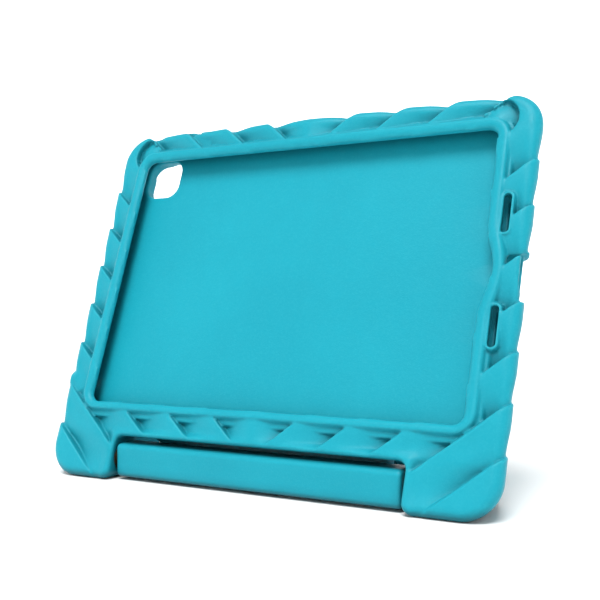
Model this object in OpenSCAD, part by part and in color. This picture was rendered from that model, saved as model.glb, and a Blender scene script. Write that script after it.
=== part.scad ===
// Moulded foam case for a 10.2 inch tablet, standing on its two feet with the carrying
// handle swung back on the ground as a prop.
//
// Frame: +X to the right as the screen is seen, +Y to the back, +Z up. The ground is Z = 0
// and the origin is under the middle of the whole part. Most of the case is drawn in the
// tablet's own frame, x across, y back from the glass, z up along the glass, with its
// origin at the middle of the display, and leaned() puts it in place.

/* [Tablet] */
// Width of the tablet, held sideways
tablet_w = 250.6; // [249:0.1:252]
// Height of the tablet, held sideways
tablet_h = 174.1; // [172:0.1:175]
// Thickness of the tablet
tablet_t = 7.5; // [7:0.1:8]
// Gap left round the tablet in its pocket
pocket_gap = 0.4; // [0.2:0.1:0.6]

/* [Case body] */
// Overall width of the case
case_w = 279; // [277:1:283]
// Top edge, above the middle of the display
case_top = 100; // [99:0.5:102]
// Thickness of the rim from the tread to the back
rim_t = 18.5; // [17:0.5:20]
// Thickness of the foam behind the tablet
back_t = 4.3; // [4:0.1:5]
// Height of the lip in front of the glass
lip_h = 3.7; // [3.4:0.1:4.2]
// Width of the screen window inside the lip
window_w = 235; // [232:1:236]
// Height of the screen window inside the lip
window_h = 158.5; // [156:0.5:160]
// Width of the lip itself
lip_w = 7.5; // [7:0.1:8]

/* [Feet] */
// Angle that the case leans back on its feet
lean = 20; // [19:0.5:20]
// Width of the handle recess between the feet
recess_w = 183; // [182.4:0.1:184]
// Depth of a foot, from the front of its sole to its back
foot_d = 50; // [48:0.5:51]
// Radius of the outer bottom corner of a foot
foot_r = 20; // [16:1:22]

/* [Handle] */
// Length of the hinge bar
bar_l = 179.4; // [178:0.1:180]
// Thickness of the square hinge bar
bar_t = 19; // [18:0.5:19]
// Distance from the hinge axis to the middle of the grip
handle_reach = 115; // [105:1:120]
// Diameter of the grip
grip_d = 22; // [22:0.5:23]
// Thickness of the handle's two arms
arm_t = 9; // [8:0.5:9]
// Width of the handle's two arms
arm_w = 14; // [13:0.5:14]
// Diameter of the steel axle
axle_d = 8; // [7:0.5:8]

/* [Buttons] */
// Length of a volume button
volume_l = 12; // [10:0.5:12]
// Length of the power button
power_l = 13; // [10:0.5:14]
// Width of every button
button_w = 5; // [4:0.5:5]

/* [Hidden] */
$fn = 64;

FOAM = [0.18, 0.72, 0.82];
NYLON = [0.12, 0.12, 0.13];
STEEL = [0.72, 0.73, 0.75];
BRONZE = [0.75, 0.6, 0.35];
EPS = 0.01;

// heights and depths of the case in the world, before it is centred on the origin
display_z = 117;        // middle of the display above the ground
hinge_y = -28.7;        // hinge axis, behind the middle of the display when negative
hinge_z = grip_d / 2;   // so that the grip touches the ground when the handle is level
foot_front = -lip_h / cos(lean) - display_z * tan(lean);
sole_bevel = 4;         // height over which the front of a sole is cut back
front_y = foot_front + sole_bevel * tan(lean);
back_y = hinge_y + handle_reach + grip_d / 2;
centre_y = (front_y + back_y) / 2;      // this becomes Y = 0

// the case in the tablet's frame
half_w = case_w / 2;
pocket_w = tablet_w + 2 * pocket_gap;
pocket_h = tablet_h + 2 * pocket_gap;
pocket_back = tablet_t + pocket_gap / 2;
pocket_r = 12;
tread_y = -2.5;
rim_back = tread_y + rim_t;
panel_back = pocket_back + back_t;
recess_top = -98.5;
recess_r = 5;
corner_r = 20;
rim_low = -105;
full_front = 1;         // the rim is at its fullest between these two depths
full_back = 7;
front_slope = 5;
back_slope = 4;
side_full = 3.5;        // behind this depth the two sides draw in towards the back
side_draft = 0.36;
window_r = 5.5;
bar_swing_r = 13.2;     // hollow in which the square bar turns
field_size = [238, 160];    // shallow field in the back
field_z = 4;
field_r = 14;
arm_slot_low = -110;
arm_slot_high = -30;
hood_x = 74;            // the bottom strip is thicker behind the bar, between the arms
hood_back = 24;
recess_x = recess_w / 2;
recess_ease = 0.6;
cut_deep = 200;         // further than the part reaches

// the home button's bay in the right side of the window
bay_r = 26;
bay_out = 5;

// places of the openings in the tablet's frame
camera_at = [-110, 71.5];
camera_hole = [25, 25];
slot_at = [127, 30];
slot_size = [4, 21.5];
slot_deep = 12;
port_size = [9, 19];
port_y = 5;
port_scoop = 2.8;
scoop_size = [18, 25];
scoop_at = [10.25, -2.5];
jack_z = -66;
jack_d = 8;
side_mid_y = tablet_t / 2;

// the hinge, by distance from the middle of the case
block_x = 96;
block_w = 24;
bush_flange_x = 92;
bush_flange_t = 1.5;
bush_flange_d = 16;
bush_d = 11;
chamber_x = 107;
chamber_l = 10;
chamber_d = 12.6;
washer_d = 12;
washer_t = 1.5;
wave_t = 1.2;
nut_t = 5.2;
nut_af = 10;
thread_d = 6;
axle_end = 116.2;
run_gap = 0.05;         // running clearance of the axle and of the nut's face
block_front = -7.4;
block_chamfer = [3, 7]; // its front top edge, parallel with the slope of the foot
block_low = -7.6;
block_high = 8;
cover_t = 2.5;
block_back = front_y + foot_d - hinge_y - cover_t;
cover_x = 94;
cover_w = 28;
cover_low = 3.2;
cover_h = 18.3;
screw_x = [100.5, 115.5];
screw_d = 4;
screw_l = 12;
screw_head_d = 8;
screw_head_t = 2.2;
screw_sink = 1.3;

// the handle, by distance from its axis
arm_low = -bar_t / 2;
core_w = 10;
core_t = 4;
core_low = arm_low + (arm_t - core_t) / 2;
knuckle_d = 14;
grip_core_d = 9;
bar_r = 3;
pin_d = 2.5;
arm_x = bar_l / 2 - arm_w / 2;
arm_slot = [arm_x - arm_w / 2 - 1.1, recess_x - recess_ease];

// the buttons
button_gap = 0.3;
button_travel = 0.8;
button_nose = 0.75;
flange_t = 1;
flange_out = 1;
volume_x = [-92, -78];
power_z = 62;

module leaned() {
    translate([0, -centre_y, display_z]) rotate([-lean, 0, 0]) children();
}

module at_hinge() {
    translate([0, hinge_y - centre_y, hinge_z]) children();
}

// a shape in x and z, drawn out from y = front to y = back
module front_view(front, back) {
    translate([0, back, 0]) rotate([90, 0, 0]) linear_extrude(back - front) children();
}

// a shape in y and z, drawn out from x = left to x = right
module side_view(left, right) {
    translate([left, 0, 0]) rotate([90, 0, 90]) linear_extrude(right - left) children();
}

module rod(left, right, d) {
    translate([left, 0, 0]) rotate([0, 90, 0]) cylinder(d = d, h = right - left);
}

module rounded(w, h, r) {
    square([w - 2 * r, h], center = true);
    square([w, h - 2 * r], center = true);
    for (sx = [-1, 1], sz = [-1, 1])
        translate([sx * (w / 2 - r), sz * (h / 2 - r)]) circle(r);
}

// the outline of the rim, from the bottom strip up
module rim_outline() {
    low = rim_low;
    translate([-half_w, low]) square([case_w, case_top - corner_r - low]);
    translate([-half_w + corner_r, low])
        square([case_w - 2 * corner_r, case_top - low]);
    for (s = [-1, 1]) translate([s * (half_w - corner_r), case_top - corner_r])
        circle(corner_r);
}

module window_outline() {
    rounded(window_w, window_h, window_r);
    translate([window_w / 2 + bay_out - bay_r, 0]) circle(bay_r);
}

module lip_outline() {
    rounded(window_w + 2 * lip_w, window_h + 2 * lip_w, window_r + lip_w);
}

// section of the rim: u outwards from the middle of the case, v to the back
function rim_section(reach) = [
    [-reach, tread_y],
    [reach - front_slope, tread_y],
    [reach, full_front],
    [reach, full_back],
    [reach - back_slope, rim_back],
    [-reach, rim_back]
];

// a thick slab round the tablet, fuller in its middle than at its two faces
module rim_block() {
    intersection() {
        front_view(tread_y, rim_back) rim_outline();
        side_view(-half_w, half_w) rotate(90) mirror([0, 1]) polygon(rim_section(case_top));
        rim_sides();
    }
}

// the same section on the left and on the right
module rim_sides() {
    low = rim_low - 1;
    intersection() {
        translate([0, 0, low]) linear_extrude(case_top + 1 - low)
            polygon(rim_section(half_w));
        mirror([1, 0, 0]) translate([0, 0, low]) linear_extrude(case_top + 1 - low)
            polygon(rim_section(half_w));
    }
}

// all that lies between the case's two sides, which draw in towards the back
module drawn_in() {
    deep = 60;          // behind the heel of a foot
    narrow = half_w - side_draft * (deep - side_full);
    translate([0, 0, -cut_deep]) linear_extrude(2 * cut_deep) polygon([
        [-half_w, -deep],
        [half_w, -deep],
        [half_w, side_full],
        [narrow, deep],
        [-narrow, deep],
        [-half_w, side_full]
    ]);
}

// the thicker part of the bottom strip, which closes the gap over the bar from behind
module hood() {
    low = -104;
    inner = rim_back - 1;
    side_view(-hood_x, hood_x)
        polygon([[inner, low], [hood_back, low], [hood_back, -86], [inner, -78]]);
}

// side outline of a foot on the ground, from its sloped front to its upright back
function foot_side() = let (
    t = tan(lean),
    back = front_y + foot_d,
    rise = 34,
    join = 58
) [
    [front_y + sole_bevel / 4, 0],
    [back, 0],
    [back, rise],
    [rim_back / cos(lean) + (join - display_z) * t, join],
    [tread_y / cos(lean) + (join - display_z) * t, join],
    [front_y, sole_bevel]
];

module foot(side) {
    tall = 60;          // a little over foot_side's join
    inner_r = 6;        // of the corner beside the handle
    intersection() {
        translate([0, -centre_y, 0]) side_view(-half_w, half_w) polygon(foot_side());
        translate([0, cut_deep / 2, 0]) rotate([90, 0, 0]) linear_extrude(cut_deep) union() {
            mid = (recess_x + half_w) / 2;
            wide = half_w - recess_x;
            translate([side * mid - wide / 2, foot_r]) square([wide, tall - foot_r]);
            translate([side * (half_w - foot_r), foot_r]) circle(foot_r);
            translate([side * (recess_x + inner_r), inner_r]) circle(inner_r);
            low_mid = (recess_x + inner_r + half_w - foot_r) / 2;
            low_w = half_w - foot_r - recess_x - inner_r;
            translate([side * low_mid - low_w / 2, 0]) square([low_w, foot_r + EPS]);
            in_mid = recess_x + inner_r / 2;
            translate([side * in_mid - inner_r / 2, inner_r]) square([inner_r, foot_r]);
        }
    }
}

// the space under the bottom strip, a little wider than the gap between the feet, with
// the round hollow in which the hinge bar turns
module handle_recess() {
    low = -cut_deep;
    half = recess_x + recess_ease;
    leaned() front_view(-cut_deep, cut_deep) {
        translate([-half, low]) square([2 * half, recess_top - recess_r - low]);
        translate([-half + recess_r, low])
            square([2 * (half - recess_r), recess_top - low]);
        for (s = [-1, 1])
            translate([s * (half - recess_r), recess_top - recess_r]) circle(recess_r);
    }
    hollow_x = recess_x - 2 * recess_ease;
    at_hinge() rod(-hollow_x, hollow_x, 2 * bar_swing_r);
}

module block_solid(back) {
    side_view(block_x, block_x + block_w) polygon([
        [block_front, block_low],
        [back, block_low],
        [back, block_high],
        [block_front + block_chamfer[0], block_high],
        [block_front, block_high - block_chamfer[1]]
    ]);
}

// the hollow that the block, its cover and the bush fill inside a foot
module hinge_pocket() {
    at_hinge() {
        block_solid(block_back + EPS);
        rod(recess_x - 1, bush_flange_x + bush_flange_t, bush_flange_d);
        rod(recess_x - 1, block_x + EPS, bush_d);
    }
    cover_space();
}

module cover_space() {
    translate([cover_x, hinge_y - centre_y + block_back, cover_low])
        cube([cover_w, cover_t, cover_h]);
}

// a slot with round ends, long across x
module button_outline(l, grow) {
    w = button_w + 2 * grow;
    square([l - button_w, w], center = true);
    for (s = [-1, 1]) translate([s * (l - button_w) / 2, 0]) circle(d = w);
}

// a button standing on z = 0 at the pocket's wall and pressed down towards it
module button(l, tall) {
    flange_z = button_nose + flange_t;
    translate([0, 0, button_nose]) linear_extrude(flange_t) button_outline(l, flange_out);
    translate([0, 0, flange_z]) linear_extrude(tall - flange_z) button_outline(l, 0);
    linear_extrude(button_nose) button_outline(l - 4, -1);
}

// the way through the wall for such a button
module button_hole(l, tall) {
    flange_z = button_nose + flange_t + button_gap;
    translate([0, 0, -2]) linear_extrude(2 + flange_z)
        button_outline(l, flange_out + button_gap);
    linear_extrude(tall + 5) button_outline(l, button_gap);
}

module at_volume(i) {
    translate([volume_x[i], side_mid_y, pocket_h / 2 + button_travel]) children();
}

module at_power() {
    translate([-pocket_w / 2 - button_travel, side_mid_y, power_z])
        rotate([0, -90, 0]) rotate([0, 0, 90]) rotate([0, 0, 90]) children();
}

module openings() {
    // camera, through the back
    front_view(pocket_back - 1, panel_back + 10)
        translate(camera_at) rounded(camera_hole[0], camera_hole[1], 8);
    // speaker slots, from the front of the rim into the side of the pocket
    for (s = [-1, 1]) front_view(-20, slot_deep)
        translate([slot_at[0], s * slot_at[1]])
            rounded(slot_size[0], slot_size[1], slot_size[0] / 2 - EPS);
    // charging port, through the right side
    side_view(pocket_w / 2 - 1, half_w + 5) translate([port_y, 0])
        rounded(port_size[0], port_size[1], 4);
    side_view(half_w - port_scoop, half_w + 5) translate(scoop_at)
        rounded(scoop_size[0], scoop_size[1], 5);
    // headphone socket, through the left side
    translate([0, side_mid_y, jack_z]) rod(-half_w - 5, -pocket_w / 2 + 1, jack_d);
    // buttons
    for (i = [0, 1]) at_volume(i) button_hole(volume_l, 20);
    at_power() button_hole(power_l, 20);
}

module case_body() {
    color(FOAM) difference() {
        intersection() {
            union() {
                difference() {
                    leaned() {
                        rim_block();
                        front_view(-lip_h, tread_y + 3) lip_outline();
                        hood();
                    }
                    handle_recess();
                }
                foot(1);
                foot(-1);
            }
            leaned() drawn_in();
        }
        leaned() {
            // the tablet's pocket and the window in front of it
            front_view(-pocket_gap / 2, pocket_back) rounded(pocket_w, pocket_h, pocket_r);
            front_view(-lip_h - 1, EPS) window_outline();
            // the shallow field in the back, open downwards where the arms fold up
            front_view(panel_back, rim_back + 1) {
                translate([0, field_z]) rounded(field_size[0], field_size[1], field_r);
                for (s = [-1, 1]) scale([s, 1]) translate([arm_slot[0], arm_slot_low])
                    square([arm_slot[1] - arm_slot[0], arm_slot_high - arm_slot_low]);
            }
            openings();
        }
        hinge_pocket();
        mirror([1, 0, 0]) hinge_pocket();
    }
}

// -- inside each foot, drawn for the right one

module hinge_block() {
    color(NYLON) at_hinge() difference() {
        block_solid(block_back);
        rod(block_x - 1, chamber_x + EPS, bush_d);
        rod(chamber_x, chamber_x + chamber_l, chamber_d);
        for (x = screw_x) translate([x, block_back + 1, 0])
            rotate([90, 0, 0]) cylinder(d = screw_d, h = screw_l + 1);
    }
}

module bush() {
    color(BRONZE) at_hinge() difference() {
        union() {
            rod(bush_flange_x, bush_flange_x + bush_flange_t, bush_flange_d);
            rod(bush_flange_x, chamber_x, bush_d);
        }
        rod(bush_flange_x - 1, chamber_x + 1, axle_d + 2 * run_gap);
    }
}

module ring_on_thread(x, t, d) {
    at_hinge() difference() {
        rod(x, x + t, d);
        rod(x - 1, x + t + 1, thread_d + 0.3);
    }
}

module friction_washer() {
    color(NYLON) ring_on_thread(chamber_x, washer_t, washer_d);
}

module wave_washer() {
    color(STEEL) ring_on_thread(chamber_x + washer_t, wave_t, washer_d - 0.6);
}

module lock_nut() {
    x = chamber_x + washer_t + wave_t + run_gap;
    color(STEEL) at_hinge() difference() {
        translate([x, 0, 0]) rotate([0, 90, 0])
            cylinder(d = nut_af / cos(30), h = nut_t, $fn = 6);
        rod(x - 1, x + nut_t + 1, thread_d);
    }
}

module hinge_cover() {
    color(NYLON) difference() {
        cover_space();
        at_hinge() for (x = screw_x) translate([x, block_back + cover_t + 1, 0])
            rotate([90, 0, 0]) {
                cylinder(d = screw_d, h = cover_t + 2);
                cylinder(d = screw_head_d, h = 1 + screw_sink);
            }
    }
}

module cover_screw(x) {
    head_y = block_back + cover_t - screw_sink;
    translate([x, head_y, 0]) rotate([90, 0, 0])
        cylinder(d = screw_d, h = head_y - block_back + screw_l);
    translate([x, head_y + screw_head_t, 0]) rotate([90, 0, 0]) difference() {
        cylinder(d = screw_head_d, h = screw_head_t);
        translate([0, 0, -EPS]) cylinder(d = 4, h = 1.2, $fn = 6);
    }
}

module cover_screws() {
    color(STEEL) at_hinge() for (x = screw_x) {
        cover_screw(x);
        cover_screw(-x);
    }
}

module on_left() {
    mirror([1, 0, 0]) children();
}

// -- the handle, level on the ground

module bar_foam() {
    color(FOAM) at_hinge() difference() {
        side_view(-bar_l / 2, bar_l / 2) rounded(bar_t, bar_t, bar_r);
        rod(-bar_l, bar_l, axle_d);
        knuckles();
    }
}

module knuckle(side) {
    x = side * arm_x;
    rod(x - core_w / 2, x + core_w / 2, knuckle_d);
    translate([x - core_w / 2, 0, core_low]) cube([core_w, bar_t, core_t]);
}

module knuckles() {
    knuckle(1);
    knuckle(-1);
}

module arm_solid(side) {
    translate([side * arm_x, bar_t / 2, arm_low + arm_t / 2]) rotate([-90, 0, 0])
        linear_extrude(handle_reach - bar_t / 2) rounded(arm_w, arm_t, 3);
}

module core_arm(side) {
    x = side * arm_x;
    translate([x - core_w / 2, 0, core_low]) cube([core_w, handle_reach, core_t]);
}

module grip_rod(d, l) {
    translate([0, handle_reach, 0]) rod(-l / 2, l / 2, d);
}

module core_end(side) {
    x = side * arm_x;
    translate([x - core_w / 2, handle_reach - grip_core_d / 2, core_low])
        cube([core_w, grip_core_d, -core_low]);
}

module core_solid() {
    knuckles();
    for (s = [-1, 1]) {
        core_arm(s);
        core_end(s);
    }
    grip_rod(grip_core_d, 2 * arm_x + core_w);
}

module arm_foam(side) {
    color(FOAM) at_hinge() difference() {
        arm_solid(side);
        core_arm(side);
        grip_rod(grip_d, bar_l);
    }
}

module grip_foam() {
    color(FOAM) at_hinge() difference() {
        grip_rod(grip_d, bar_l);
        core_solid();
    }
}

module handle_core() {
    color(NYLON) at_hinge() difference() {
        core_solid();
        rod(-bar_l, bar_l, axle_d);
        pins();
    }
}

module pins() {
    for (s = [-1, 1]) translate([s * arm_x, 0, -knuckle_d / 2 + 1])
        cylinder(d = pin_d, h = knuckle_d - 2);
}

module core_pins() {
    color(STEEL) at_hinge() pins();
}

module axle_rod() {
    color(STEEL) at_hinge() difference() {
        union() {
            rod(-chamber_x, chamber_x, axle_d);
            rod(-axle_end, axle_end, thread_d);
        }
        pins();
    }
}

module volume_button(i) {
    color(FOAM) leaned() at_volume(i) button(volume_l, case_top - pocket_h / 2 - button_travel);
}

module power_button() {
    color(FOAM) leaned() at_power() button(power_l, half_w - pocket_w / 2 - button_travel);
}

case_body();
on_left() hinge_block();  // hinge_block_left
hinge_block();  // hinge_block_right
on_left() bush();  // bush_left
bush();  // bush_right
on_left() friction_washer();  // friction_washer_left
friction_washer();  // friction_washer_right
on_left() wave_washer();  // wave_washer_left
wave_washer();  // wave_washer_right
on_left() hinge_cover();  // hinge_cover_left
hinge_cover();  // hinge_cover_right
cover_screws();
bar_foam();
arm_foam(-1);  // arm_foam_left
arm_foam(1);  // arm_foam_right
grip_foam();
handle_core();
axle_rod();
core_pins();
on_left() lock_nut();  // lock_nut_left
lock_nut();  // lock_nut_right
volume_button(0);  // volume_up_button
volume_button(1);  // volume_down_button
power_button();
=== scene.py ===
"""Looks of the moulded foam tablet case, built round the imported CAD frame."""

import math

import bmesh
import bpy
import numpy as np
from mathutils import Matrix, Vector


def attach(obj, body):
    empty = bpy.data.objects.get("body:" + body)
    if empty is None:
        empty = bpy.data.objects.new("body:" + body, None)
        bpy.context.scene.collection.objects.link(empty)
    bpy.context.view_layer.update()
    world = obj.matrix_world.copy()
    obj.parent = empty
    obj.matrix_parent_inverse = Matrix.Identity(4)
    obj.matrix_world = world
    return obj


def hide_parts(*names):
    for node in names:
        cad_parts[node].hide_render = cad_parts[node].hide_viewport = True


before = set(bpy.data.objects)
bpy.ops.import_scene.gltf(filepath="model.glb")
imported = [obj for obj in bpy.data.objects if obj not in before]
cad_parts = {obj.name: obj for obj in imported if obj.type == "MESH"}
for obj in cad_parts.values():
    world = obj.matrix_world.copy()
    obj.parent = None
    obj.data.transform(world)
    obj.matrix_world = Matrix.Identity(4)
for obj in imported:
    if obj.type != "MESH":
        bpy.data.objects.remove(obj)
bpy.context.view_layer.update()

# ------------------------------------------------------------------ the tablet's frame
# x across, y back from the glass, z up along the glass, in millimetres, with its origin
# at the middle of the display. The case leans back on its feet.
LEAN = math.radians(20)
COS, SIN = math.cos(LEAN), math.sin(LEAN)
DISPLAY_Z = 117.0
CENTRE_Y = 26.117
MM = 0.001
HINGE_Y, HINGE_Z = -54.817, 11.0
REACH = 115.0


def to_row(p):
    """Points in the tablet's frame, in mm, to the row frame in metres."""
    x, y, z = p[:, 0], p[:, 1], p[:, 2]
    rows = (x, y * COS + z * SIN - CENTRE_Y, DISPLAY_Z - y * SIN + z * COS)
    return np.stack(rows, 1) * MM


# ------------------------------------------------------------------ distance fields
def step(a, b, v):
    """0 below a, 1 above b, smooth between."""
    t = np.clip((v - a) / (b - a), 0, 1)
    return t * t * (3 - 2 * t)


def rmax(a, b, r):
    """Intersection of two solids, their common edge rounded to radius r."""
    over = np.hypot(np.maximum(a + r, 0), np.maximum(b + r, 0))
    return np.minimum(np.maximum(a, b), -r) + over


def rmin(a, b, r):
    """Union of two solids, with a fillet of radius r."""
    return -rmax(-a, -b, r)


def soft_min(a, b, k):
    h = np.clip(0.5 + 0.5 * (b - a) / k, 0, 1)
    return b + (a - b) * h - k * h * (1 - h)


def soft_max(a, b, k):
    return -soft_min(-a, -b, k)


def round_rect(u, v, half_u, half_v, r):
    """Signed distance to a rectangle with rounded corners."""
    a, b = np.abs(u) - half_u + r, np.abs(v) - half_v + r
    return np.hypot(np.maximum(a, 0), np.maximum(b, 0)) + np.minimum(np.maximum(a, b), 0) - r


def quarter(t):
    """A quarter round: 0 for t up to 0, 1 at t = 1 and steep there."""
    t = np.clip(t, 0, 1)
    return 1 - np.sqrt(1 - t * t)


def nets(field, axes):
    """Surface of a field's zero, as quads, by averaging the crossings in each cell."""
    inside = field < 0
    shape = field.shape
    cells = [n - 1 for n in shape]
    ids, points, quads = [], [], []
    for d in range(3):
        low = tuple(slice(0, -1) if e == d else slice(None) for e in range(3))
        high = tuple(slice(1, None) if e == d else slice(None) for e in range(3))
        at = list(np.nonzero(inside[low] != inside[high]))
        u, v = (d + 1) % 3, (d + 2) % 3
        keep = (at[u] > 0) & (at[u] < shape[u] - 1) & (at[v] > 0) & (at[v] < shape[v] - 1)
        at = [a[keep] for a in at]
        nxt = list(at)
        nxt[d] = at[d] + 1
        f0, f1 = field[tuple(at)], field[tuple(nxt)]
        p = np.stack([axes[e][at[e]] for e in range(3)], 1).astype(float)
        p[:, d] += f0 / (f0 - f1) * (axes[d][nxt[d]] - axes[d][at[d]])
        corners = []
        for du, dv in ((-1, -1), (0, -1), (0, 0), (-1, 0)):
            c = list(at)
            c[u], c[v] = at[u] + du, at[v] + dv
            corners.append((c[0] * cells[1] + c[1]) * cells[2] + c[2])
            ids.append(corners[-1])
            points.append(p)
        q = np.stack(corners, 1)
        out = ~inside[tuple(at)]
        q[out] = q[out][:, ::-1]
        quads.append(q)
    unique, inverse = np.unique(np.concatenate(ids), return_inverse=True)
    points = np.concatenate(points)
    count = np.bincount(inverse)
    verts = np.stack([np.bincount(inverse, weights=points[:, e]) / count for e in range(3)], 1)
    return verts, np.searchsorted(unique, np.concatenate(quads))


FILLED = 0.02       # how far inside a filled grid point lies, in mm
CRUMB_FACES = 50    # an island of fewer faces is a bubble
WELD = 1e-6         # metres


def fill_checkers(field, rounds=3):
    """Fills grid squares whose corners are in and out by turns, so that the surface never
    meets itself along an edge."""
    for _ in range(rounds):
        for d in range(3):
            u, v = (d + 1) % 3, (d + 2) % 3
            corners = []
            for du, dv in ((0, 0), (1, 0), (1, 1), (0, 1)):
                at = [slice(None)] * 3
                at[u] = slice(du, field.shape[u] - 1 + du)
                at[v] = slice(dv, field.shape[v] - 1 + dv)
                corners.append(tuple(at))
            a, b, c, e = (field[at] < 0 for at in corners)
            checker = (a == c) & (b == e) & (a != b)
            for at in corners:
                part = field[at]
                part[checker] = np.minimum(part[checker], -FILLED)


def drop_crumbs(mesh):
    """Takes out islands of a few triangles, which are bubbles about as small as the grid,
    welds sheets that touch, and takes out what was a flap between them."""
    bm = bmesh.new()
    bm.from_mesh(mesh)
    seen, crumbs = set(), []
    for start in bm.verts:
        if start in seen:
            continue
        seen.add(start)
        island, count = [start], 0
        for vert in island:
            count += len(vert.link_faces)
            for edge in vert.link_edges:
                other = edge.other_vert(vert)
                if other not in seen:
                    seen.add(other)
                    island.append(other)
        if count < 3 * CRUMB_FACES:
            crumbs += island
    bmesh.ops.delete(bm, geom=crumbs, context="VERTS")
    bmesh.ops.remove_doubles(bm, verts=bm.verts, dist=WELD)
    flaps = [f for f in bm.faces if any(len(e.link_faces) == 1 for e in f.edges)]
    bmesh.ops.delete(bm, geom=flaps, context="FACES")
    bm.to_mesh(mesh)
    bm.free()


def piece(name, verts, quads, triangles=None):
    """A smooth mesh object from points in metres, thinned to about that many triangles."""
    me = bpy.data.meshes.new(name)
    me.vertices.add(len(verts))
    me.vertices.foreach_set("co", verts.ravel())
    me.loops.add(quads.size)
    me.loops.foreach_set("vertex_index", quads.ravel().astype(np.int32))
    me.polygons.add(len(quads))
    me.polygons.foreach_set("loop_start", np.arange(len(quads), dtype=np.int32) * 4)
    me.update(calc_edges=True)
    me.validate()
    obj = bpy.data.objects.new(name, me)
    bpy.context.scene.collection.objects.link(obj)
    if triangles and triangles < 2 * len(quads):
        thin = obj.modifiers.new("thin", "DECIMATE")
        thin.ratio = triangles / (2 * len(quads))
        thin.use_collapse_triangulate = True
        seen = obj.evaluated_get(bpy.context.evaluated_depsgraph_get())
        obj.data = bpy.data.meshes.new_from_object(seen)
        obj.data.name = name
        obj.modifiers.clear()
        bpy.data.meshes.remove(me)
        drop_crumbs(obj.data)
    obj.data.polygons.foreach_set("use_smooth", np.ones(len(obj.data.polygons), dtype=bool))
    obj.data.update()
    return obj


class Block:
    """A field on a grid of points, shaped by cutting and adding in parts of it."""

    def __init__(self, low, high, pitch):
        self.axes = [np.arange(a, b + pitch, pitch) for a, b in zip(low, high)]
        self.field = None

    def grid(self, part=(slice(None),) * 3):
        x, y, z = (a[s] for a, s in zip(self.axes, part))
        return x[:, None, None], y[None, :, None], z[None, None, :]

    def part(self, low, high):
        return tuple(
            slice(max(int(np.searchsorted(a, lo)) - 1, 0), int(np.searchsorted(a, hi)) + 1)
            for a, lo, hi in zip(self.axes, low, high)
        )

    def cut(self, low, high, hole, r):
        """Takes a hole out between two corners, its rim rounded to radius r."""
        s = self.part(low, high)
        self.field[s] = rmax(self.field[s], -hole(*self.grid(s)), r)

    def add(self, low, high, lump, r):
        s = self.part(low, high)
        self.field[s] = rmin(self.field[s], lump(*self.grid(s)), r)

    def surface(self):
        fill_checkers(self.field)
        return nets(self.field, self.axes)


# ------------------------------------------------------------------ the case body
HALF_W = 139.5
TOP_Z = 100.4
CORNER_R = 19.0
TREAD_Y = -3.15
LIP_Y = -4.0
WINDOW = (117.5, 79.25, 5.5)
BAY_X, BAY_R = 96.5, 26.0
POCKET = (125.7, 87.45, 12.0)
POCKET_FRONT, POCKET_BACK = -0.2, 7.7
PANEL_BACK, RIM_BACK = 12.0, 16.0
RECESS_X, RECESS_TOP = 91.5, -98.5
FOOT_BACK = -21.18
FOOT_R, FOOT_R_LOSS = 20.0, 0.27    # the soles' outer rounding, tighter towards the heel
HOOD_X, HOOD_BACK = 74.0, 24.0
SIDE_FULL, SIDE_DRAFT = 3.5, 0.36
SLOT_X, SLOT_Z = 127.0, 30.0
SCOOP_DEPTH = 2.9
SOCKET_Y, SOCKET_Z = 3.75, -66.0
KEY_Y, KEY_Z = 3.75, 62.0
VOLUME_X = (-92, -78)

# the tread: lines across the rim, mirrored about the middle
TREAD_SLOPE = 0.829
TREAD_START = 105.8
TREAD_PITCH = 25.7
TREAD_SLANT = 0.0194
LOBE = (116, 85)
FRONT_DEPTH = 5.2
EDGE_DEPTH = 1.2


def tread(ax, z, y=0.0):
    """How deep each tile of the tread lies on the face and on the edge of the rim, from 0
    at its high end to 1 at its low one."""
    slant = TREAD_SLANT * np.maximum(y - 2, 0)
    s = (TREAD_SLOPE * ax - z - TREAD_START) / TREAD_PITCH + slant
    frac = s - np.floor(s)
    gain = np.ones_like(frac)
    # the middle tile of the top and the bottom is high at its centre
    start = (-z - TREAD_START) / TREAD_PITCH + slant + 0 * ax
    end = np.where(z > 0, -7.0, 0.0)
    middle = (s < end) & (ax < 60)
    wide = np.maximum(end - start, 0.05)
    frac = np.where(middle, (s - start) / wide, frac)
    gain = np.where(middle, np.clip(wide / 0.7, 0, 1), gain)
    # a crescent at each upper corner, inside a full round lobe
    rc = np.hypot(ax - LOBE[0], z - LOBE[1])
    corner = (s > -4) & (s < -2.95) & (z > 60)
    frac = np.where(corner, np.where(rc < 12, np.clip((rc - 1) / 11, 0, 1), 0), frac)
    gain = np.where(corner, 1 - step(93, 98.5, z), gain)
    # under the last line the foot is plain
    frac = np.where(s > 4, 0, frac)
    gain = gain * np.where(s > 3, step(-126, -106, z), 1)
    gain = gain * (1 - step(0.93, 1.0, frac))
    return gain * np.clip((frac - 0.05) / 0.88, 0, 1) ** 1.35, gain * step(0.35, 0.92, frac)


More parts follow.
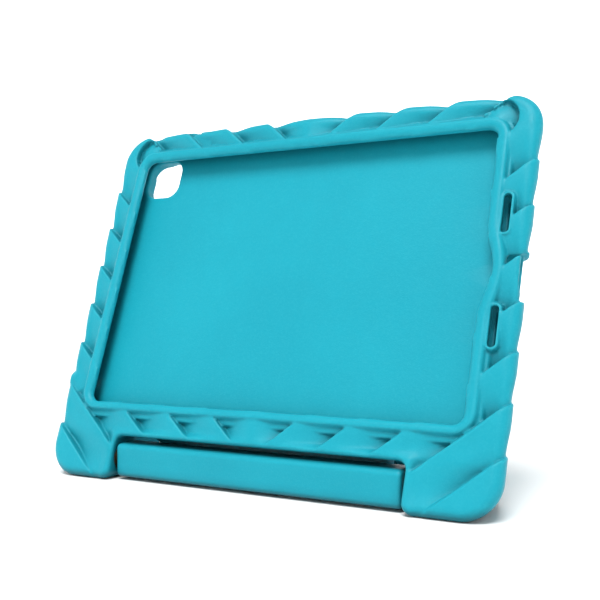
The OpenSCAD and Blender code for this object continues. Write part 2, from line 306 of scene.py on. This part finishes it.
def case_fields(x, z):
    """Front and back of the case, and where its edge is left full, over x and z."""
    ax = np.abs(x)
    deep, _ = tread(ax, z)
    low_strip = 1 - step(92, 99, ax)
    keep = 1 - low_strip * (1 - step(-98, -93, z)) * (z < 0)
    window = round_rect(x, z, *WINDOW)
    bay = np.hypot(x - BAY_X, z) - BAY_R
    window = soft_min(window, bay, 7)
    outer = round_rect(x, z - 0.8, 125, 86.2, 13)
    outer = soft_min(outer, np.hypot(x - BAY_X, z) - BAY_R - 6.8, 8)
    above_crescent = TREAD_SLOPE * ax - z > TREAD_START - 4 * TREAD_PITCH
    lobe = (np.hypot(ax - LOBE[0], z - LOBE[1]) < 12.5) & above_crescent
    shallow = step(3, 12, outer) * (0.15 + 0.27 * step(-104, -96, z))
    near = np.where(lobe, 0.8, 1 - shallow) * (0.25 + 0.75 * step(0, 8, HALF_W - ax))
    front = TREAD_Y + FRONT_DEPTH * deep * keep * near
    # the walls round the tablet, the sockets and the buttons stay whole
    thin = np.maximum(round_rect(x, z, *POCKET) - 0.3, 0)
    front = soft_min(front, -1.2 + 1.8 * thin, 0.5)
    keys = np.maximum(np.abs(x + 85) - 13, 0) + np.maximum(86 - z, 0)
    front = soft_min(front, -0.1 + 1.2 * keys, 0.6)
    jack = np.maximum(np.hypot(x + 132, z - SOCKET_Z) - 8, 0)
    front = soft_min(front, -1.5 + 0.5 * jack, 0.6)
    key = np.maximum(np.hypot(x + 134, np.maximum(np.abs(z - KEY_Z) - 6, 0)) - 6, 0)
    front = soft_min(front, -0.1 + 0.5 * key, 0.6)
    # lip round the window
    lip = LIP_Y + 2.8 * quarter(1 - window / 4.2) + 6 * quarter(1 + (outer - 0.2) / 3.0)
    lip = np.where(outer > 0.2, 40, lip)
    front = soft_min(lip, front, 0.6)
    # thin collars round the speaker slots
    slot = round_rect(ax - SLOT_X, np.abs(z) - SLOT_Z, 2.0, 10.75, 2.0) + 1000 * (x < 0)
    collar = np.where(slot < 1.9, LIP_Y + 0.4 + 3 * quarter(slot / 1.9), 40)
    front = soft_min(collar, front, 0.5)
    # back: a shallow field inside the rim, open downwards where the arms fold up
    inner = round_rect(x, z - 4, 119, 80, 14)
    inner = rmin(inner, round_rect(ax - 82.75, z + 90, 8.15, 40, 3), 4)
    back = PANEL_BACK + (RIM_BACK - PANEL_BACK) * step(-0.6, 2.6, inner)
    back = back - 1.7 * deep * step(3, 8, inner) * step(-80, -60, z)
    plateau = step(-115, -109, x) * (1 - step(-68, -62, x)) * step(85, 92, z)
    return front, back, 1 - plateau


def case_block():
    block = Block((-142.4, -6.0, -128.0), (142.4, 47.2, 102.4), PITCH)
    x, y, z = block.grid()
    ax = np.abs(x)
    front, back, dented = case_fields(x[:, 0], z[:, 0])
    # slope of the front, so that its field is a distance
    gx, gz = np.gradient(front, PITCH)
    steep = np.sqrt(1 + np.clip(gx * gx + gz * gz, 0, 9))
    row_y = y * COS + z * SIN - CENTRE_Y
    row_z = DISPLAY_Z - y * SIN + z * COS
    # outline: upper corners, feet down to the ground, recess between them
    taper = 4.2 * np.clip((y - 7) / 9, 0, 1.3) ** 1.7 * step(38, 78, row_z)
    dent = EDGE_DEPTH * dented[:, None, :] * tread(ax, z, y)[1]
    side = ax - HALF_W + SIDE_DRAFT * soft_max(y - SIDE_FULL, 0, 4)
    wall = rmax(side, z - TOP_Z + taper, CORNER_R) + dent
    wall = rmax(wall, -row_z, FOOT_R - FOOT_R_LOSS * np.maximum(y, 0))
    recess = -rmax(ax - RECESS_X, z - RECESS_TOP, 5)
    inward = step(-8, 8, recess - wall)
    wall = rmax(wall, recess, 6)
    face = (front[:, None, :] - y) / steep[:, None, :]
    case = rmax(wall, face, 6.2 - 3.9 * inward)
    # back: the rim, and the feet behind it
    foot_back = FOOT_BACK - np.clip(row_z - 34, 0, 60) * 0.141
    foot = rmax(row_y - foot_back, RECESS_X - ax, 2.2)
    behind = rmin(y - back[:, None, :], foot, 5)
    hood = rmax(y - HOOD_BACK - np.minimum(0, (z + 87) * -0.82), ax - HOOD_X, 2.5)
    behind = rmin(behind, np.maximum(hood, z + 76), 2)
    block.field = rmax(case, behind, 2.2 + 1.8 * step(40, 70, row_z)).astype(np.float32)
    return block


def carve_case(block):
    """The pocket, the openings and the hinge's places."""
    pocket = lambda x, y, z: np.maximum(
        round_rect(x, z, *POCKET), np.maximum(POCKET_FRONT - y, y - POCKET_BACK)
    )
    block.cut((-128, -2, -90), (128, 10, 90), pocket, 0.5)

    def window(x, y, z):
        edge = soft_min(round_rect(x, z, *WINDOW), np.hypot(x - BAY_X, z) - BAY_R, 7)
        return np.maximum(edge, y - POCKET_FRONT - 1) + 0 * y

    block.cut((-120, -6, -82), (125, 2, 82), window, 0.3)
    camera = lambda x, y, z: np.maximum(round_rect(x + 110, z - 71.5, 12.5, 12.5, 8), 6 - y)
    block.cut((-126, 5, 56), (-94, 20, 88), camera, 1.6)
    for s in (-1, 1):
        slot = lambda x, y, z: np.maximum(
            round_rect(x - SLOT_X, z - s * SLOT_Z, 2.0, 10.75, 2.0), y - 12
        )
        block.cut((122, -6, s * 30 - 14), (132, 14, s * 30 + 14), slot, 0.4)
    port = lambda x, y, z: np.maximum(round_rect(y - 5, z, 4.5, 9.5, 4), 124 - x)
    scoop = lambda x, y, z: np.maximum(
        round_rect(y - 9, z + 2.5, 12, 12.5, 5),
        HALF_W - SCOOP_DEPTH - SIDE_DRAFT * np.maximum(y - SIDE_FULL, 0) - x,
    )
    block.cut((120, -4, -20), (143, 20, 16), scoop, 1.2)
    block.cut((120, -4, -14), (143, 14, 14), port, 0.8)
    ring = lambda x, y, z: np.maximum(
        np.hypot(y - SOCKET_Y, z - SOCKET_Z) - 5.6, np.maximum(0.6 - HALF_W - x, x + 134)
    )
    block.add((-143, -6, -80), (-130, 16, -52), ring, 1.2)
    jack = lambda x, y, z: np.maximum(np.hypot(y - SOCKET_Y, z - SOCKET_Z) - 4, x + 124)
    block.cut((-143, -4, -76), (-120, 12, -56), jack, 0.8)
    # the buttons' ways through the wall
    for cx in VOLUME_X:
        hole = lambda x, y, z: np.maximum(
            round_rect(x - cx, y - KEY_Y, 6.3, 2.8, 2.8), 87 - z
        )
        block.cut((cx - 10, -4, 84), (cx + 10, 12, 103), hole, 0.5)
    hole = lambda x, y, z: np.maximum(
        round_rect(z - KEY_Z, y - KEY_Y, 6.8, 2.8, 2.8), x + 125
    )
    block.cut((-143, -4, 50), (-122, 12, 74), hole, 0.5)

    # about the hinge axis: the bar's hollow, the bush, the block and its cover
    def hinge(y, z):
        row_y = y * COS + z * SIN - CENTRE_Y - HINGE_Y
        row_z = DISPLAY_Z - y * SIN + z * COS - HINGE_Z
        return row_y, row_z

    def hollow(x, y, z):
        u, v = hinge(y, z)
        return np.maximum(np.hypot(u, v) - 13.2, np.abs(x) - 90.3)

    block.cut((-92, -6, -128), (92, 48, -80), hollow, 1.2)

    def places(x, y, z):
        u, v = hinge(y, z)
        ax = np.abs(x)
        flange = np.maximum(np.hypot(u, v) - 8.15, np.abs(ax - 92) - 1.6)
        bush = np.maximum(np.hypot(u, v) - 5.6, np.abs(ax - 95) - 2)
        body = np.maximum(np.abs(ax - 108) - 12.1, np.abs(v - 0.2) - 7.9)
        body = np.maximum(body, np.maximum(-7.5 - u, u - 35))
        body = np.maximum(body, (-7 * (u + 7.5) + 3 * (v - 1)) / 7.6)
        cover = np.maximum(np.abs(ax - 108) - 14.15, np.abs(v - 1.35) - 9.3)
        cover = np.maximum(cover, 31.05 - u)
        return np.minimum(np.minimum(flange, bush), np.minimum(body, cover))

    for s in (-1, 1):
        low, high = sorted((s * 88.0, s * 132.0))
        block.cut((low, -6, -128), (high, 48, -80), places, 0.25)


PITCH = 0.8
case = case_block()
carve_case(case)
verts, quads = case.surface()
case_body = piece("foam_case", to_row(verts), quads, 190000)
del case

# ------------------------------------------------------------------ the handle, about its axis
BAR = (89.7, 9.5, 3.0)


def from_hinge(p):
    return (p + np.array((0, HINGE_Y, HINGE_Z))) * MM


def handle_piece(name, low, high, pitch, field, triangles):
    block = Block(low, high, pitch)
    block.field = field(*block.grid()) + np.zeros([len(a) for a in block.axes])
    verts, quads = block.surface()
    return piece(name, from_hinge(verts), quads, triangles)


def bar_field(x, y, z):
    box = round_rect(y, z, BAR[1], BAR[1], BAR[2])
    box = rmax(box, np.abs(x) - BAR[0], 2.2)
    return np.maximum(box, 4.1 - np.hypot(y, z))


def arm_field(x, y, z):
    arm = round_rect(x, z + 5, 7, 4.5, 3)
    arm = rmax(arm, 9.55 - y, 0.4)
    return np.maximum(rmax(arm, 11.05 - np.hypot(y - REACH, z), 0.4), y - REACH)


def grip_field(x, y, z):
    along = np.abs(x)
    waves = 0.55 * (1 - step(0.9, 2.4, np.abs((x + 500) % 8 - 4))) * (1 - step(57, 59, along))
    grip = np.hypot(y - REACH, z) - 11 + waves
    return rmax(grip, along - 89.7, 3.5)


bar = handle_piece("foam_bar", (-92, -12, -12), (92, 12, 12), 0.6, bar_field, 24000)
arms = []
for side, x0 in (("left", -82.7), ("right", 82.7)):
    arm = handle_piece(
        "foam_arm_" + side, (-12, 6, -12), (12, 118, 3), 0.6,
        arm_field, 12000,
    )
    arm.data.transform(Matrix.Translation((x0 * MM, 0, 0)))
    arms.append(arm)
grip = handle_piece("foam_grip", (-92, 102, -13), (92, 128, 13), 0.6, grip_field, 36000)


# ------------------------------------------------------------------ the buttons
def button_field(length):
    def field(u, v, w):
        pad = round_rect(u, v, length / 2, 2.5, 2.5)
        crown = 12.2 - 0.25 * np.clip((np.hypot(u * 0.6, v) / 3), 0, 2) ** 2
        pad = rmax(pad, w - crown, 0.9)
        foot = np.maximum(round_rect(u, v, length / 2 + 1, 3.5, 3.5), np.abs(w - 1.25) - 0.5)
        nose = np.maximum(round_rect(u, v, length / 2 - 2.5, 1.5, 1.5), w - 1)
        return np.maximum(np.minimum(np.minimum(pad, foot), nose), -w)

    return field


def button(name, length, place):
    block = Block((-10, -5, -2), (10, 5, 14), 0.35)
    block.field = button_field(length)(*block.grid())
    verts, quads = block.surface()
    return piece(name, to_row(place(verts)), quads, 9000)


def on_top(cx):
    return lambda p: np.stack((p[:, 0] + cx, KEY_Y - p[:, 1], p[:, 2] + 88.25), 1)


def on_left(p):
    return np.stack((-126.5 - p[:, 2], KEY_Y - p[:, 1], KEY_Z + p[:, 0]), 1)


volume_up = button("volume_up_pad", 12, on_top(VOLUME_X[0]))
volume_down = button("volume_down_pad", 12, on_top(VOLUME_X[1]))
power = button("power_pad", 13, on_left)


# ------------------------------------------------------------------ materials
class Nodes:
    """A material's node tree, with short ways to add nodes and links."""

    def __init__(self, name):
        self.mat = bpy.data.materials.new(name)
        self.mat.use_nodes = True
        self.tree = self.mat.node_tree
        self.shader = self.tree.nodes["Principled BSDF"]
        self.where = self.add("ShaderNodeTexCoord").outputs["Object"]

    def add(self, kind, **values):
        node = self.tree.nodes.new(kind)
        for key, value in values.items():
            if key in node.inputs:
                node.inputs[key].default_value = value
            else:
                setattr(node, key, value)
        return node

    def link(self, a, b):
        self.tree.links.new(a, b)

    def noise(self, scale, detail=4.0, roughness=0.55):
        n = self.add("ShaderNodeTexNoise", Scale=scale, Detail=detail, Roughness=roughness)
        self.link(self.where, n.inputs["Vector"])
        return n.outputs["Fac"]

    def cells(self, scale):
        n = self.add("ShaderNodeTexVoronoi", Scale=scale)
        self.link(self.where, n.inputs["Vector"])
        return n.outputs["Distance"]

    def span(self, value, low, high, to_low, to_high):
        n = self.add("ShaderNodeMapRange")
        for key, number in zip(
            ("From Min", "From Max", "To Min", "To Max"), (low, high, to_low, to_high)
        ):
            n.inputs[key].default_value = number
        self.link(value, n.inputs["Value"])
        return n.outputs["Result"]

    def mix(self, factor, a, b):
        n = self.add("ShaderNodeMix", data_type="RGBA")
        for socket, value in ((n.inputs[0], factor), (n.inputs[6], a), (n.inputs[7], b)):
            if hasattr(value, "links"):
                self.link(value, socket)
            else:
                socket.default_value = value
        return n.outputs[2]

    def bump(self, height, strength, distance, normal=None):
        n = self.add("ShaderNodeBump", Strength=strength, Distance=distance)
        self.link(height, n.inputs["Height"])
        if normal is not None:
            self.link(normal, n.inputs["Normal"])
        return n.outputs["Normal"]

    def finish(self, color, roughness, normal):
        self.link(color, self.shader.inputs["Base Color"])
        self.link(roughness, self.shader.inputs["Roughness"])
        self.link(normal, self.shader.inputs["Normal"])
        return self.mat


def foam(name, base, deep, pale):
    """Closed-cell foam with a fine moulded skin, paler where edges have rubbed, and with
    painted shade darkening its creases, hollows and gaps."""
    # shade: a darker copy of the foam colour, used as painted shade in the creases and hollows
    shade = tuple(0.35 * c for c in deep[:3]) + (1,)
    n = Nodes(name)
    cloud = n.noise(14, 3)
    speck = n.noise(900, 2, 0.6)
    color = n.mix(n.span(cloud, 0.35, 0.65, 0, 1), deep, base)
    color = n.mix(n.span(speck, 0.45, 0.75, 0, 0.22), color, pale)
    edge = n.add("ShaderNodeNewGeometry").outputs["Pointiness"]
    worn = n.add("ShaderNodeMath", operation="MULTIPLY")
    n.link(n.span(edge, 0.515, 0.56, 0, 0.5), worn.inputs[0])
    n.link(n.span(n.noise(60, 5, 0.65), 0.4, 0.7, 0.2, 1), worn.inputs[1])
    color = n.mix(worn.outputs[0], color, pale)
    # painted shade: ambient occlusion blends the colour towards the dark shade copy in
    # creases, hollows and gaps
    hollow = n.add("ShaderNodeAmbientOcclusion", samples=8, Distance=0.009).outputs["AO"]
    color = n.mix(n.span(hollow, 0.3, 0.98, 0.9, 0), color, shade)
    rough = n.span(n.noise(220, 3), 0.3, 0.7, 0.42, 0.54)
    normal = n.bump(n.cells(1500), 0.22, 0.0002)
    normal = n.bump(n.noise(420, 3), 0.16, 0.0005, normal)
    n.shader.inputs["Specular IOR Level"].default_value = 0.22
    n.shader.inputs["Sheen Weight"].default_value = 0.03
    n.shader.inputs["Sheen Roughness"].default_value = 0.5
    n.shader.inputs["Sheen Tint"].default_value = (0.3, 0.9, 1.0, 1.0)
    return n.finish(color, rough, normal)


def plastic(name, base, pale):
    n = Nodes(name)
    color = n.mix(n.span(n.noise(70, 4), 0.4, 0.7, 0, 0.35), base, pale)
    rough = n.span(n.noise(300, 3), 0.3, 0.7, 0.45, 0.62)
    normal = n.bump(n.cells(900), 0.3, 0.0002)
    return n.finish(color, rough, normal)


def metal(name, base, dull, low, high, stretch):
    n = Nodes(name)
    turn = n.add("ShaderNodeMapping")
    turn.inputs["Scale"].default_value = stretch
    n.link(n.where, turn.inputs["Vector"])
    lines = n.add("ShaderNodeTexNoise", Scale=160.0, Detail=5.0)
    n.link(turn.outputs["Vector"], lines.inputs["Vector"])
    color = n.mix(n.span(n.noise(40, 4), 0.4, 0.7, 0, 0.6), base, dull)
    rough = n.span(lines.outputs["Fac"], 0.3, 0.7, low, high)
    normal = n.bump(lines.outputs["Fac"], 0.12, 0.0001)
    n.shader.inputs["Metallic"].default_value = 1.0
    return n.finish(color, rough, normal)


FOAM = foam(
    "foam", (0.004, 0.303, 0.390, 1), (0.003, 0.282, 0.367, 1), (0.024, 0.368, 0.445, 1)
)
PAD_FOAM = foam(
    "button_foam", (0.004, 0.289, 0.374, 1), (0.003, 0.269, 0.350, 1), (0.024, 0.354, 0.430, 1)
)
NYLON = plastic("nylon", (0.022, 0.023, 0.026, 1), (0.055, 0.056, 0.060, 1))
WASHER = plastic("washer", (0.74, 0.72, 0.66, 1), (0.62, 0.60, 0.55, 1))
STEEL = metal("steel", (0.62, 0.63, 0.65, 1), (0.46, 0.47, 0.50, 1), 0.22, 0.38, (1, 30, 30))
BRONZE = metal("bronze", (0.40, 0.27, 0.14, 1), (0.26, 0.17, 0.09, 1), 0.28, 0.45, (30, 1, 1))

for obj, body, node, material, slot in (
    (case_body, "case", "case_body", FOAM, "foam"),
    (bar, "handle", "bar_foam", FOAM, "foam"),
    (arms[0], "handle", "arm_foam_left", FOAM, "foam"),
    (arms[1], "handle", "arm_foam_right", FOAM, "foam"),
    (grip, "handle", "grip_foam", FOAM, "foam"),
    (volume_up, "volume_up", "volume_up_button", PAD_FOAM, "button_foam"),
    (volume_down, "volume_down", "volume_down_button", PAD_FOAM, "button_foam"),
    (power, "power", "power_button", PAD_FOAM, "button_foam"),
):
    obj.data.materials.append(material)
    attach(obj, body)
    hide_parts(node)

CAD_FINISH = {
    STEEL: ("wave_washer_left", "wave_washer_right", "cover_screws", "axle_rod",
            "core_pins", "lock_nut_left", "lock_nut_right"),
    BRONZE: ("bush_left", "bush_right"),
    WASHER: ("friction_washer_left", "friction_washer_right"),
    NYLON: ("hinge_block_left", "hinge_block_right", "hinge_cover_left",
            "hinge_cover_right", "handle_core"),
}
for material, names in CAD_FINISH.items():
    for name in names:
        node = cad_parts[name]
        if not node.material_slots:
            node.data.materials.append(material)
        for place in node.material_slots:
            place.material = material

# ------------------------------------------------------------------ stage, light and camera
bpy.context.scene.view_settings.view_transform = "Standard"


def floor():
    """A wide round floor that curves up far behind, as one sheet."""
    rings = np.array([0.0, 0.3, 0.8, 1.6, 3.0, 5.0, 6.0, 6.8, 7.3, 7.6])
    lift = np.array([0, 0, 0, 0, 0, 0, 0.15, 0.6, 1.6, 4.0]) - 0.0002
    turns = 64
    angle = np.arange(turns) / turns * 2 * math.pi
    r, h = rings[:, None], lift[:, None]
    flat = np.zeros_like(angle)
    verts = np.stack((r * np.cos(angle), r * np.sin(angle), h + flat), 2).reshape(-1, 3)
    i, j = np.meshgrid(np.arange(len(rings) - 1), np.arange(turns), indexing="ij")
    k = (j + 1) % turns
    ring, outer = i * turns, (i + 1) * turns
    quads = np.stack((ring + j, outer + j, outer + k, ring + k), 2)
    obj = piece("floor", verts, quads.reshape(-1, 4))
    n = Nodes("pale_floor")
    cloud = n.span(n.noise(3, 2), 0.4, 0.6, 0, 1)
    color = n.mix(cloud, (0.90, 0.90, 0.90, 1), (0.87, 0.87, 0.87, 1))
    rough = n.span(n.noise(8, 2), 0.4, 0.6, 0.85, 0.9)
    obj.data.materials.append(n.finish(color, rough, n.bump(n.noise(200, 2), 0.02, 0.0002)))


floor()
for name, energy, toward in (
    ("key", 3.5, (0.12, -0.46, 0.88)),
    ("side", 4.7, (0.85, -0.48, 0.20)),
):
    sun = bpy.data.objects.new(name, bpy.data.lights.new(name, "SUN"))
    sun.data.energy = energy
    sun.data.angle = math.radians(30)
    sun.rotation_mode = "QUATERNION"
    sun.rotation_quaternion = Vector(toward).to_track_quat("Z", "Y")
    bpy.context.scene.collection.objects.link(sun)
world = bpy.data.worlds.new("studio")
world.use_nodes = True
world.node_tree.nodes["Background"].inputs["Color"].default_value = (1, 1, 1, 1)
world.node_tree.nodes["Background"].inputs["Strength"].default_value = 0.46
bpy.context.scene.world = world

# the camera's place and turn, found in the tablet's frame
AZIMUTH, ELEVATION, ROLL = 0.56264, -0.30161, 0.18097
CAMERA_AT = np.array([[278.92, -419.51, -169.45]])
LENS = 56.64
forward = Vector((
    -math.sin(AZIMUTH) * math.cos(ELEVATION),
    math.cos(AZIMUTH) * math.cos(ELEVATION),
    -math.sin(ELEVATION),
))
side = forward.cross(Vector((0, 0, 1))).normalized()
above = side.cross(forward)
right = side * math.cos(ROLL) + above * math.sin(ROLL)
up = above * math.cos(ROLL) - side * math.sin(ROLL)
lean = Matrix.Rotation(-LEAN, 3, "X")
right, up, forward = lean @ right, lean @ up, lean @ forward
camera = bpy.data.objects.new("camera", bpy.data.cameras.new("camera"))
camera.matrix_world = Matrix.Translation(Vector(to_row(CAMERA_AT)[0])) @ Matrix(
    (right, up, -forward)
).transposed().to_4x4()
camera.data.lens = LENS
camera.data.sensor_width = 36
camera.data.clip_start, camera.data.clip_end = 0.01, 50
bpy.context.scene.collection.objects.link(camera)
bpy.context.scene.camera = camera
